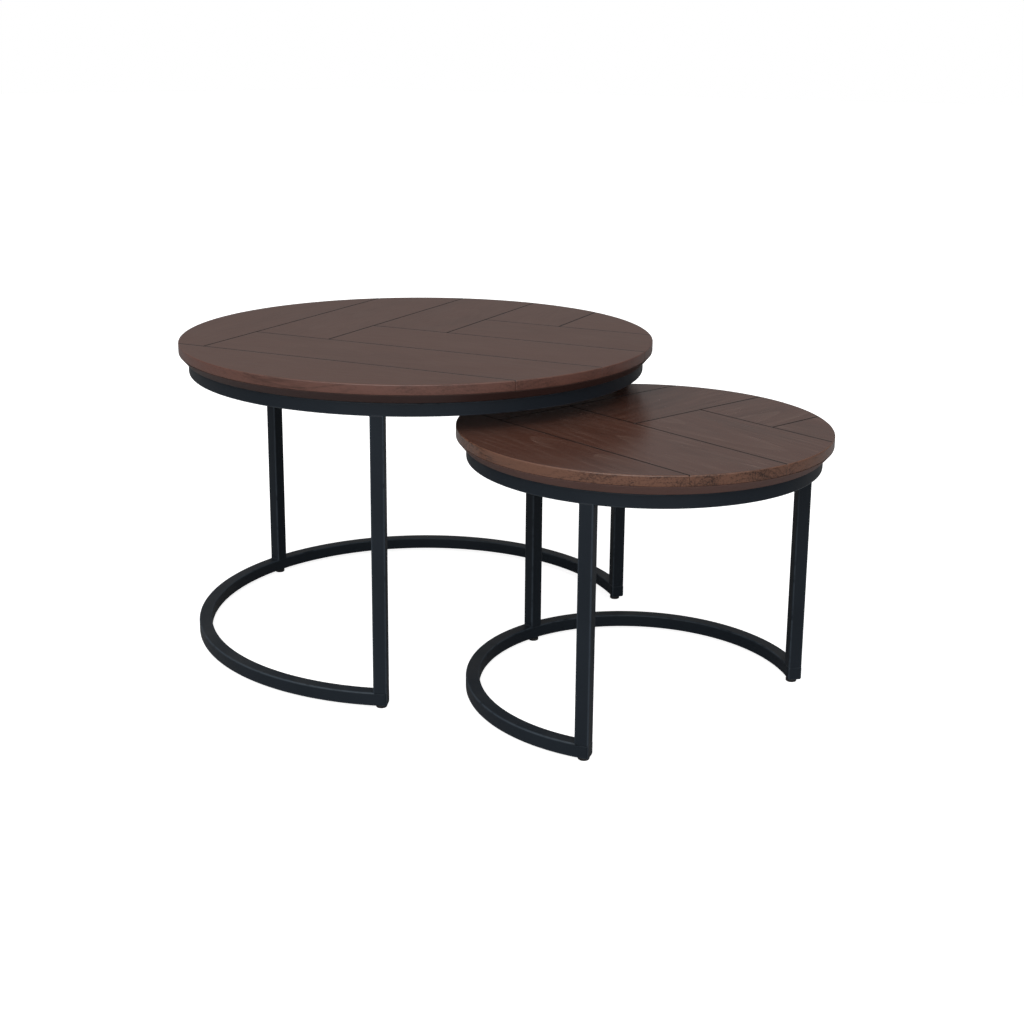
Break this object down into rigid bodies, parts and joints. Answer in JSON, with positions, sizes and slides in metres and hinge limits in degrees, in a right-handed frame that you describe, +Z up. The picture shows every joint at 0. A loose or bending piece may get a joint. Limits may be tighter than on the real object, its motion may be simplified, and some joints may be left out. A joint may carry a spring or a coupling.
{
  "type": "nesting coffee tables",
  "caption": "Round coffee table with a smaller round table that slides under it; herringbone board tops on black square-tube frames open to one side.",
  "frame": {"origin": "on the floor, at the middle of the box round both tables as drawn half out", "axes": "+X is the way the small table is drawn out from under the large one, +Z is up"},
  "size_m": [1.0096, 0.7, 0.45],
  "materials": {
    "stained_boards": "dark walnut stain under satin lacquer, herringbone boards",
    "stained_panel": "dark walnut stain, satin",
    "black_frame": "black powder coat, fine satin texture",
    "zinc_screws": "zinc-plated steel",
    "black_nylon": "moulded black nylon, matt"
  },
  "bodies": {
    "large_table": {"large_arc_cap_left": "black_frame", "large_arc_cap_right": "black_frame", "large_base_panel": "stained_panel", "large_board_cross_1": "stained_boards", "large_board_cross_2": "stained_boards", "large_board_cross_3": "stained_boards", "large_board_cross_4": "stained_boards", "large_board_long_1": "stained_boards", "large_board_long_2": "stained_boards", "large_board_long_3": "stained_boards", "large_board_long_4": "stained_boards", "large_board_long_5": "stained_boards", "large_floor_arc": "black_frame", "large_glide_back": "black_nylon", "large_glide_left": "black_nylon", "large_glide_right": "black_nylon", "large_leg_back": "black_frame", "large_leg_left": "black_frame", "large_leg_right": "black_frame", "large_ring": "black_frame", "large_screw_front": "zinc_screws", "large_screw_left": "zinc_screws", "large_screw_right": "zinc_screws", "large_tab_front": "black_frame", "large_tab_left": "black_frame", "large_tab_right": "black_frame"},
    "small_table": {"small_arc_cap_left": "black_frame", "small_arc_cap_right": "black_frame", "small_base_panel": "stained_panel", "small_board_cross_1": "stained_boards", "small_board_cross_2": "stained_boards", "small_board_cross_3": "stained_boards", "small_board_long_1": "stained_boards", "small_board_long_2": "stained_boards", "small_board_long_3": "stained_boards", "small_board_long_4": "stained_boards", "small_floor_arc": "black_frame", "small_glide_back": "black_nylon", "small_glide_left": "black_nylon", "small_glide_right": "black_nylon", "small_leg_back": "black_frame", "small_leg_left": "black_frame", "small_leg_right": "black_frame", "small_ring": "black_frame", "small_screw_front": "zinc_screws", "small_screw_left": "zinc_screws", "small_screw_right": "zinc_screws", "small_tab_front": "black_frame", "small_tab_left": "black_frame", "small_tab_right": "black_frame"}
  },
  "joints": [
    {"name": "nest_slide", "type": "slide", "parent": "large_table", "child": "small_table", "axis": [1, 0, 0], "range_m": [-0.41, 0.25]}
  ]
}
